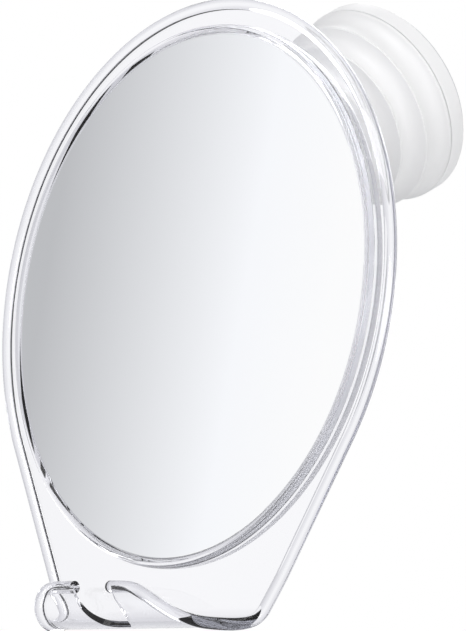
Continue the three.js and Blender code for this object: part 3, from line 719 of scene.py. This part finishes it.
disc = mirror_disc()
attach(disc, "head")
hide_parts("mirror_disc")
wear(nodes["mirror_foam_pad"], FOAM)
print("mirror:", len(disc.data.polygons), "faces")

# %% [markdown]
# ## White base
# The twist knob steps down in three coves from the wall ring to the nose. Each cove is a curve
# that leaves one crest almost parallel to the axis and flares out to the next, so it is bright
# behind the crest and shades off before the next one.

# %% Twist knob
# Radius and station of each crest, then its cove's middle point: how far inside, and its share
TIERS = [(20.0, 30.0, 0.3, 0.43), (25.7, 24.0, 1.5, 0.37),
         (29.3, 16.35, 2.3, 0.28), (30.9, 7.3, 0, 0)]
CREST, KNOB_WALL, KNOB_FACE = 0.5, 1.8, 31.3
TUBE_OUT = 7.0
HUB_BORE, HUB_WALL, CAM_REAR = 13.8, 1.7, 14.0


def knob_outline():
    """The outside steps from nose to rear through three coves; the inside follows in steps."""
    outside = []
    for (r, h, dip, share), (r2, h2, _, _) in zip(TIERS[:-1], TIERS[1:]):
        tip = (r + CREST / 8, h + CREST / 8)
        crest = bezier((r - CREST / 2, h + CREST / 4), tip, (r - CREST / 2, h - CREST), 7)
        start, end = np.array([r - CREST / 2, h - CREST]), np.array([r2 - CREST / 2, h2 + CREST])
        cove = bezier(start, (r - dip, h2 + (h - h2) * share), end, 18)[1:]
        outside += crest.tolist() + cove.tolist()
    r, h = TIERS[-1][:2]
    outside += bezier((r - CREST / 4, h + CREST / 2), (r, h + CREST / 4), (r, h), 5).tolist()
    inset = KNOB_WALL + TIERS[1][2]
    roof = KNOB_FACE - KNOB_WALL
    nose_r = TIERS[0][0] - CREST - KNOB_WALL
    nose_end = (TIERS[0][0] - CREST / 2, TIERS[0][1] + CREST / 4)
    nose = bezier((nose_r - 1.2, KNOB_FACE), (nose_r + 0.3, KNOB_FACE), nose_end, 9)
    inside = [
        (TIERS[3][0] - KNOB_WALL, TIERS[3][1]), (TIERS[2][0] - inset, TIERS[2][1] - KNOB_WALL),
        (TIERS[1][0] - inset, TIERS[2][1] - KNOB_WALL / 2), (TIERS[1][0] - inset, TIERS[1][1] - KNOB_WALL),
        (HUB_BORE + HUB_WALL, TIERS[1][1] - KNOB_WALL), (HUB_BORE + HUB_WALL, CAM_REAR), (HUB_BORE, CAM_REAR),
        (HUB_BORE, roof), (TUBE_OUT + GAP, roof), (TUBE_OUT + GAP, KNOB_FACE),
    ]
    return np.concatenate([nose, outside, inside])


knob = turned("twist_knob_smooth", knob_outline(), off_wall, sides=256, smooth_deg=40)
wear(knob, WHITE)
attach(knob, "knob")
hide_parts("twist_knob")
print("knob faces:", len(knob.data.polygons))

# %% [markdown]
# ## Base ring and suction pad
# Behind the knob a ring with a tower and a tube carries everything that turns, and its rear
# edge bears on the rim of the soft pad. Both are bodies of revolution about the wall's normal,
# so each is one outline turned round.

# %% Base ring and pad
BASE_R, BASE_REAR, BASE_FRONT, WEB, WEB_REAR, PRESS_R = 31.1, 1.6, 7.0, 2.0, 4.4, 24.3
PAD_R, PAD_T, PAD_BOSS_R, PAD_BOSS_TOP, PAD_EDGE = 29.6, 2.2, 8.5, 4.8, 0.5
TOWER_BORE, TOWER_WALL, TOWER_TOP, TOWER_ROOF = 11.3, 1.5, 13.7, 1.8
TUBE_BORE, TUBE_END = 3.3, 33.4
PULL_R, PULL_FLANGE_R, PULL_FLANGE_T, PULL_REAR = 3.0, 6.0, 1.5, 1.4
PIN_AT_REST, PULL_TRAVEL = 17.5, 2.5


def base_ring():
    """The ring that bears on the pad's rim, its web, and the tower and tube that the knob
    turns round, as one turned outline."""
    press = PAD_T + GAP
    corners = [
        (TUBE_BORE, TUBE_END), (TUBE_OUT, TUBE_END), (TUBE_OUT, TOWER_TOP),
        (TOWER_BORE + TOWER_WALL, TOWER_TOP),
        (TOWER_BORE + TOWER_WALL, WEB_REAR + WEB), (BASE_R - WEB, WEB_REAR + WEB), (BASE_R - WEB, BASE_FRONT),
        (BASE_R, BASE_FRONT), (BASE_R, BASE_REAR), (PAD_R + GAP, BASE_REAR), (PAD_R + GAP, press),
        (PRESS_R, press), (PRESS_R, WEB_REAR), (TOWER_BORE, WEB_REAR), (TOWER_BORE, TOWER_TOP - TOWER_ROOF),
        (TUBE_BORE, TOWER_TOP - TOWER_ROOF),
    ]
    ring = turned("base_ring_smooth", eased(corners, 0.35), off_wall, sides=256, smooth_deg=40)
    slots = slot_block("base_slot")
    combine(ring, slots, "DIFFERENCE")
    crisp(ring.data, 40)
    return ring


def slot_block(name):
    """A block that cuts the two slots which the cross pin slides in."""
    half = 1.5
    low, high = PIN_AT_REST - half, PIN_AT_REST + PULL_TRAVEL + half
    x, y, z = TUBE_OUT + 1, (low, high), half
    corners = [(sx * x, -h, sz * z) for sx in (-1, 1) for h in y for sz in (-1, 1)]
    faces = [(0, 1, 3, 2), (4, 6, 7, 5), (0, 4, 5, 1), (2, 3, 7, 6), (0, 2, 6, 4), (1, 5, 7, 3)]
    return mesh_object(name, corners, faces, 30)


def suction_pad():
    """A flat flexible disc with a feathered rim and a boss moulded round the stud's flange."""
    cavity = PULL_REAR + PULL_FLANGE_T + GAP
    front = [(PAD_R, 0), (PAD_R, PAD_EDGE), (PAD_R - PAD_T + PAD_EDGE, PAD_T), (PAD_BOSS_R, PAD_T),
             (PAD_BOSS_R, PAD_BOSS_TOP), (PULL_R + GAP, PAD_BOSS_TOP), (PULL_R + GAP, cavity),
             (PULL_FLANGE_R + GAP, cavity), (PULL_FLANGE_R + GAP, PULL_REAR - GAP)]
    floor = [(PULL_FLANGE_R, PULL_REAR - GAP), (0, PULL_REAR - GAP)]
    p = np.concatenate([[(0, 0)], eased(front, 0.25)[3:-3], floor])
    return turned("suction_pad_smooth", p, off_wall, sides=224)


def dressed(piece, mat, body, node):
    """Gives a piece its finish, body, node and slot."""
    wear(piece, mat)
    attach(piece, body)
    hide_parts(node)
    return piece


ring_piece = dressed(base_ring(), WHITE, "base", "base_ring")
print("base ring:", len(ring_piece.data.polygons), "faces")

# %% [markdown]
# ## Suction pad and return spring
# Turning the knob draws the steel stud 2.5 mm off the wall. The soft pad's boss goes with the
# stud while its rim stays pressed on the wall. The return spring sits between the boss and the
# tower's roof. It is a wire along a helix, and it shortens towards its fixed front end as the
# stud comes out. Here both are made in one shape only.

# %% The suction pad and the return spring
SPRING_R, WIRE_R, SPRING_TURNS = 5.2, 0.4, 3
SPRING_REAR, SPRING_FRONT = PAD_BOSS_TOP + GAP, TOWER_TOP - TOWER_ROOF - GAP


def return_spring(along=180, ring=16):
    """The wire's centre is (R cos a, height, R sin a), the height rising evenly with the angle
    a. At each centre the wire's ring of points is w (cos b N + sin b B), with N the outward
    direction, T the wire's own and B = T x N."""
    a = np.linspace(0, 2 * np.pi * SPRING_TURNS, along)
    height = np.linspace(SPRING_REAR + WIRE_R, SPRING_FRONT - WIRE_R, along)
    climb = (height[-1] - height[0]) / a[-1]
    centre = np.stack([SPRING_R * np.cos(a), -height, SPRING_R * np.sin(a)], -1)
    outward = np.stack([np.cos(a), 0 * a, np.sin(a)], -1)
    tangent = np.stack([-SPRING_R * np.sin(a), 0 * a - climb, SPRING_R * np.cos(a)], -1)
    tangent /= np.linalg.norm(tangent, axis=1, keepdims=True)
    across = np.cross(tangent, outward)
    b = (np.arange(ring) * 2 * np.pi / ring)[None, :, None]
    wire = centre[:, None] + WIRE_R * (np.cos(b) * outward[:, None] + np.sin(b) * across[:, None])
    ends = [list(range(ring)), list(range((along - 1) * ring, along * ring))]
    faces = grid_faces(along, ring, cols_closed=True) + ends
    return mesh_object("return_spring_wound", wire.reshape(-1, 3), faces, 50)


pad_piece = suction_pad()
wear(pad_piece, RUBBER)
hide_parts("suction_pad")
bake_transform(pad_piece)

spring_piece = dressed(return_spring(), STEEL, "base", "return_spring")
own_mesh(spring_piece)

# %% [markdown]
# ## Ball joint
# The ball and its neck are one moulding. The ball sits in a cup on the back of the pod and a
# screwed collar holds it, so all three are turned, the cup and collar about the mirror's
# normal and the ball's neck about the wall's.

# %% Retainer and ball stud
NUT_REAR = KNOB_FACE + GAP + 0.6 + GAP
STUD_REAR = TUBE_END + GAP
NUT_ROOF = STUD_REAR + 1.5 + GAP + 0.6 + GAP
NUT_FRONT, NUT_IN = NUT_ROOF + 1.8, TUBE_OUT + GAP
NUT_OUT = NUT_IN + 3.4


def knob_retainer():
    """The cap in front of the knob: a ring with a roof that the stud's neck comes through."""
    corners = [(NUT_IN, NUT_REAR), (NUT_OUT, NUT_REAR),
               (NUT_OUT, NUT_FRONT - 0.8), (NUT_OUT - 0.8, NUT_FRONT),
               (NECK_R + GAP, NUT_FRONT), (NECK_R + GAP, NUT_ROOF), (NUT_IN, NUT_ROOF)]
    return turned("knob_retainer_smooth", eased(corners, 0.3), off_wall, sides=128)


def ball_stud():
    """Flange, neck and ball in one turned outline; the ball's arc starts where the neck meets it."""
    neck_deg = 180 - math.degrees(math.asin(NECK_R / BALL_R))
    flange = eased([(6.2, STUD_REAR), (6.2, STUD_REAR + 1.5), (NECK_R, STUD_REAR + 1.5)], 0.25)[3:-3]
    ball = arc(WALL_TO_BALL, BALL_R, neck_deg, 0, 60)
    p = np.concatenate([[(0, STUD_REAR), (6.0, STUD_REAR)], flange, [(NECK_R, STUD_REAR + 1.6)], ball])
    return turned("ball_stud_smooth", p, off_wall, sides=96, smooth_deg=45)


dressed(knob_retainer(), WHITE, "base", "knob_retainer")
dressed(ball_stud(), WHITE, "swivel", "ball_stud")
print("retainer from", round(NUT_REAR, 1), "to", round(NUT_FRONT, 1), "mm off the wall")

# %% [markdown]
# The socket's cup and its collar close round the ball with a thin nylon seat between them. The
# cup's inside is a hemisphere, and the collar's lip follows the ball's running surface.

# %% Socket and collar
BALL_Z = -BALL_BEHIND
SEAT_IN = BALL_R + GAP
SEAT_OUT = SEAT_IN + 0.8
SOCKET_IN = SEAT_OUT + GAP
SOCKET_OUT = SOCKET_IN + 2.3
SOCKET_FRONT = FLOOR_BACK - GAP
FLANGE_BACK = SOCKET_FRONT - 3.2


def around_ball(behind):
    """Radius of the running surface at a distance behind the ball's centre."""
    return math.sqrt(SEAT_IN**2 - behind**2)


def socket_base():
    """A round flange and a cup whose inside is a hemisphere of the seat's outer radius."""
    p = [(0, SOCKET_FRONT), (17.5, SOCKET_FRONT), (17.5, FLANGE_BACK), (SOCKET_OUT, FLANGE_BACK),
         (SOCKET_OUT, BALL_Z - 1), (SOCKET_IN, BALL_Z - 1)]
    body = np.concatenate([[p[0]], eased(p[1:], [0.4, 0.5, 0.3, 0.25, 0.2], 5)[:-3],
                           arc(BALL_Z, SOCKET_IN, 90, 0, 30)])
    cup = turned("socket_base_smooth", body, about_ball, sides=128)
    return cup


def socket_retainer():
    """The collar: it slips over the cup's wall and its lip closes in behind the ball."""
    inner, outer = SOCKET_OUT + GAP, SOCKET_OUT + GAP + 1.9
    step, lip = BALL_Z - 1 - GAP, BALL_Z - 1.6 - GAP
    back = lip - 1.0
    corners = [(inner, FLANGE_BACK - GAP), (outer, FLANGE_BACK - GAP),
               (outer, back + 0.8), (outer - 0.8, back),
               (around_ball(BALL_Z - back), back), (around_ball(BALL_Z - lip), lip), (SOCKET_IN, lip),
               (SOCKET_IN, step), (inner, step)]
    return turned("socket_retainer_smooth", eased(corners, 0.22), about_ball, sides=128)


dressed(socket_base(), WHITE, "head", "socket_base")
dressed(socket_retainer(), WHITE, "seat", "socket_retainer")
print("socket cup", round(2 * SOCKET_OUT, 1), "mm across")

# %% [markdown]
# The small pieces inside the joint and the base keep the shapes of their solids and only get
# their real finishes: nylon for what rubs, steel for the screws, the pin and the stud.

# %% Finishes of the pieces that keep their solids
KEPT = {
    "cam_ring": NYLON, "thrust_washer": NYLON, "swivel_washer": NYLON, "ball_seat": NYLON,
    "seat_ring": NYLON, "pull_stud": STEEL, "cross_pin": STEEL, "socket_screw_1": STEEL,
    "socket_screw_2": STEEL, "socket_screw_3": STEEL,
}
for name, mat in KEPT.items():
    wear(nodes[name], mat)
print("small nodes with a finish of their own:", len(KEPT))

# %% [markdown]
# ## Light
# The photograph is a packshot on pure white. The backdrop is white for the camera. Clear
# plastic shows the room behind it, bent, so it needs a room with some shade in it: white where
# the camera looks and greyer towards the sides. A soft, even world lights the object, and
# broad soft lamps from above, from the right, beside the camera and behind shape the coves of
# the base and keep the back as plainly lit as the front.

# %% Room that plastic and mirror show
# What a ray meets, by its angle in degrees from the camera's own line of sight
ROOM = [
    (180, (0.55, 0.55, 0.57)), (0, (0.98, 0.98, 0.99)), (9, (0.96, 0.96, 0.975)),
    (14, (0.88, 0.88, 0.90)),
    (27, (0.80, 0.80, 0.83)), (42, (0.70, 0.70, 0.73)), (60, (0.62, 0.62, 0.65)), (80, (0.70, 0.70, 0.73)),
    (110, (0.70, 0.70, 0.73)),
]


def room_colour(tree, direction):
    """The room's colour for a unit direction: its dot product with the line of sight goes
    through a ramp whose stops are ROOM's angles, placed at (1 + cosine) / 2."""
    facing = tree.nodes.new("ShaderNodeVectorMath")
    facing.operation = "DOT_PRODUCT"
    facing.inputs[1].default_value = (-CAM_Z).tolist()
    tree.links.new(direction, facing.inputs[0])
    spread = tree.nodes.new("ShaderNodeMapRange")
    spread.inputs["From Min"].default_value = -1.0
    tree.links.new(facing.outputs["Value"], spread.inputs["Value"])
    ramp = tree.nodes.new("ShaderNodeValToRGB")
    spots = ramp.color_ramp.elements
    for k, (degrees, colour) in enumerate(ROOM):
        spot = spots[k] if k < 2 else spots.new(0.5)
        spot.position = (1 + math.cos(math.radians(degrees))) / 2
        spot.color = (*colour, 1)
    tree.links.new(spread.outputs["Result"], ramp.inputs["Fac"])
    return ramp.outputs["Color"]


def either(tree, first, second):
    """One where either of two light-path answers is one."""
    most = tree.nodes.new("ShaderNodeMath")
    most.operation = "MAXIMUM"
    tree.links.new(first, most.inputs[0])
    tree.links.new(second, most.inputs[1])
    return most.outputs[0]


print("room:", len(ROOM), "stops")

# %% [markdown]
# The world asks what kind of ray is looking. The camera gets white, sharp reflections and
# refractions get the room, and everything else gets the soft light.

# %% World
def world_light():
    """A pale world. Rays from the camera see plain white. Mirror, gloss and clear plastic see
    the room's colour, white behind the object and grey towards the sides. All other rays meet
    a soft even grey that lights the object."""
    world = bpy.data.worlds.new("studio")
    bpy.context.scene.world = world
    world.use_nodes = True
    tree = world.node_tree
    tree.nodes.clear()
    out = tree.nodes.new("ShaderNodeOutputWorld")
    coords = tree.nodes.new("ShaderNodeTexCoord")
    gloss = tree.nodes.new("ShaderNodeBackground")
    tree.links.new(room_colour(tree, coords.outputs["Generated"]), gloss.inputs["Color"])
    soft = tree.nodes.new("ShaderNodeBackground")
    soft.inputs["Color"].default_value = (0.80, 0.80, 0.81, 1)
    soft.inputs["Strength"].default_value = 0.55
    seen = tree.nodes.new("ShaderNodeBackground")
    seen.inputs["Color"].default_value = (1, 1, 1, 1)
    path = tree.nodes.new("ShaderNodeLightPath")
    inner = tree.nodes.new("ShaderNodeMixShader")
    sharp = either(tree, path.outputs["Is Glossy Ray"], path.outputs["Is Transmission Ray"])
    tree.links.new(sharp, inner.inputs["Fac"])
    tree.links.new(soft.outputs[0], inner.inputs[1])
    tree.links.new(gloss.outputs[0], inner.inputs[2])
    outer = tree.nodes.new("ShaderNodeMixShader")
    tree.links.new(path.outputs["Is Camera Ray"], outer.inputs["Fac"])
    tree.links.new(inner.outputs[0], outer.inputs[1])
    tree.links.new(seen.outputs[0], outer.inputs[2])
    tree.links.new(outer.outputs[0], out.inputs["Surface"])


world_light()
print("world:", bpy.context.scene.world.name)

# %% [markdown]
# The mirror is flat and the camera is far away, so every point of it reflects nearly the same
# direction. Its soft shading in the picture is therefore a nearby card that goes from grey to
# white. The card's glow is worked out backwards: where a reflected ray meets the card tells
# which point of the mirror shows it.

# %% A glow that runs from grey to white
def glow(name, ramp_along, shift, stops):
    """A glowing card. ramp_along is a direction in metres: the glow runs through the stops
    with the position's dot product with it, plus shift."""
    mat = bpy.data.materials.new(name)
    mat.use_nodes = True
    tree = mat.node_tree
    tree.nodes.clear()
    out = tree.nodes.new("ShaderNodeOutputMaterial")
    lamp = tree.nodes.new("ShaderNodeEmission")
    tree.links.new(lamp.outputs[0], out.inputs["Surface"])
    place = tree.nodes.new("ShaderNodeTexCoord")
    dot = tree.nodes.new("ShaderNodeVectorMath")
    dot.operation = "DOT_PRODUCT"
    dot.inputs[1].default_value = list(ramp_along)
    tree.links.new(place.outputs["Object"], dot.inputs[0])
    add = tree.nodes.new("ShaderNodeMath")
    add.inputs[1].default_value = shift
    tree.links.new(dot.outputs["Value"], add.inputs[0])
    ramp = tree.nodes.new("ShaderNodeValToRGB")
    ramp.color_ramp.interpolation = "LINEAR"
    for k, (at, colour) in enumerate(stops):
        spot = ramp.color_ramp.elements[k] if k < 2 else ramp.color_ramp.elements.new(at)
        spot.position = at
        spot.color = (*colour, 1)
    tree.links.new(add.outputs[0], ramp.inputs["Fac"])
    tree.links.new(ramp.outputs["Color"], lamp.inputs["Color"])
    return mat


# The mirror is grey at its left edge, nearly white past its middle and white at its right edge.
# In between the light grows evenly. These are screen greys and the picture's x in pixels.
DARK_SHADE, PALE_SHADE, WHITE_SHADE = 0xBF, 0xFA, 0xFF
DARK_AT, PALE_AT, WHITE_AT = 40, 240, 330


def linear(level, cool=4):
    """A screen grey, a little cooler than neutral, as scene light."""
    c = np.array([level, level + cool * 0.3, level + cool]).clip(0, 255) / 255
    return np.where(c <= 0.04045, c / 12.92, ((c + 0.055) / 1.055) ** 2.4)


print("shades from", linear(DARK_SHADE).round(3), "to", linear(WHITE_SHADE).round(3))

# %% [markdown]
# The card hangs where the reflected rays go. Only those rays see it: it is hidden from the
# camera, from diffuse light, from refraction and from shadow rays.

# %% Card in front of the mirror
CARD_AWAY, CARD_HALF = 0.55, 0.19


def mirror_card():
    """A card square to the reflected direction, CARD_AWAY metres out. Along it the picture's x of the
    mirror point p changes with G = X - n (X.r)/(n.r), where X is the camera's right, n the
    mirror's normal and r the reflected direction. The rays still spread on their way from the
    mirror to the card, by 1 + (card's distance) / (camera's distance)."""
    normal = AXES[:, 2]
    seen = -CAM_Z
    out = seen - 2 * (seen @ normal) * normal
    picture = PX_PER_MM * 1000 * (CAM_X - 0.17 * CAM_Y)
    spread = 1 + CARD_AWAY / (CAMERA_AWAY * MM)
    slope = (picture - normal * (picture @ out) / (normal @ out)) / spread
    at_centre = PICTURE_W / 2 - PX_PER_MM * VIEW_ACROSS
    width = WHITE_AT - DARK_AT
    centre = (FACE_CENTRE * MM) + CARD_AWAY * out
    side = np.cross(out, [0, 0, 1.0])
    side /= np.linalg.norm(side)
    up = np.cross(side, out)
    turns = ((-1, -1), (1, -1), (1, 1), (-1, 1))
    corners = [centre + CARD_HALF * (a * side + b * up) for a, b in turns]
    card = mesh_object("mirror_card", np.array(corners) / MM, [[0, 1, 2, 3]])
    shift = (at_centre - slope @ (FACE_CENTRE * MM) - DARK_AT) / width
    shades = (0, DARK_SHADE), (1, WHITE_SHADE), ((PALE_AT - DARK_AT) / width, PALE_SHADE)
    stops = [(at, tuple(linear(shade))) for at, shade in shades]
    wear(card, glow("card_glow", slope / width, shift, stops))
    card.visible_camera = False
    card.visible_diffuse = False
    card.visible_transmission = False
    card.visible_shadow = False
    return card


card = mirror_card()
print("card:", 2 * CARD_HALF, "m wide")

# %% [markdown]
# Five square lamps light the object: above, to the right, beside the camera, high on the left
# and behind. They are large, so that the coves shade off softly, and weak, so that the white
# plastic keeps its tone.

# %% Lamps
def soft_lamp(name, away, toward, size, power):
    """A square area lamp that looks at a point."""
    data = bpy.data.lights.new(name, "AREA")
    data.shape = "SQUARE"
    data.size = size
    data.energy = power
    lamp = bpy.data.objects.new(name, data)
    place = Vector(toward) + Vector(away)
    aimed = (-Vector(away)).to_track_quat("-Z", "Y").to_matrix().to_4x4()
    lamp.matrix_world = Matrix.Translation(place) @ aimed
    bpy.context.scene.collection.objects.link(lamp)
    return lamp


middle = FACE_CENTRE * MM
soft_lamp("key", (0.5, -0.05, 1.15), middle, 0.6, 5.2)
soft_lamp("right", (1.2, 0.08, -0.1), middle, 0.7, 3.2)
soft_lamp("beside_camera", (1.0, -0.75, 0.45), middle, 0.6, 3.7)
soft_lamp("above", (-0.3, -0.3, 1.2), middle, 0.6, 1.5)
soft_lamp("behind", (-0.5, 1.1, 0.35), middle, 0.7, 4.0)


print("lamps:", len(bpy.data.lights))

# %% [markdown]
# A wall-hung mirror stands on nothing, so the floor lies well below it.

# %% Floor
def floor_plane():
    """A broad pale floor well below the wall-hung object, which takes its shadow. The camera
    sees it white. Plastic and mirror see the room's colour for the direction in which each
    point of the floor lies from the object."""
    size, low = 3000.0, -420.0
    corners = [(-size, -size, low), (size, -size, low), (size, size, low), (-size, size, low)]
    floor = mesh_object("floor", corners, [[0, 1, 2, 3]])
    mat = bpy.data.materials.new("pale_floor")
    mat.use_nodes = True
    tree = mat.node_tree
    shader = tree.nodes["Principled BSDF"]
    shader.inputs["Base Color"].default_value = (0.85, 0.85, 0.85, 1)
    shader.inputs["Roughness"].default_value = 0.9
    place = tree.nodes.new("ShaderNodeTexCoord")
    away = tree.nodes.new("ShaderNodeVectorMath")
    away.operation = "SUBTRACT"
    away.inputs[1].default_value = (FACE_CENTRE * MM).tolist()
    tree.links.new(place.outputs["Object"], away.inputs[0])
    toward = tree.nodes.new("ShaderNodeVectorMath")
    toward.operation = "NORMALIZE"
    tree.links.new(away.outputs["Vector"], toward.inputs[0])
    path = tree.nodes.new("ShaderNodeLightPath")
    glow_colour = tree.nodes.new("ShaderNodeMix")
    glow_colour.data_type = "RGBA"
    glow_colour.inputs["B"].default_value = (1, 1, 1, 1)
    tree.links.new(room_colour(tree, toward.outputs["Vector"]), glow_colour.inputs["A"])
    tree.links.new(path.outputs["Is Camera Ray"], glow_colour.inputs["Factor"])
    bright = tree.nodes.new("ShaderNodeEmission")
    tree.links.new(glow_colour.outputs["Result"], bright.inputs["Color"])
    sharp = either(tree, path.outputs["Is Glossy Ray"], path.outputs["Is Transmission Ray"])
    mix = tree.nodes.new("ShaderNodeMixShader")
    tree.links.new(either(tree, sharp, path.outputs["Is Camera Ray"]), mix.inputs["Fac"])
    tree.links.new(shader.outputs[0], mix.inputs[1])
    tree.links.new(bright.outputs[0], mix.inputs[2])
    tree.links.new(mix.outputs[0], tree.nodes["Material Output"].inputs["Surface"])
    wear(floor, mat)
    return floor


floor = floor_plane()
print("floor", [round(c, 2) for c in floor.dimensions], "m")
bpy.context.scene.view_settings.view_transform = "Standard"
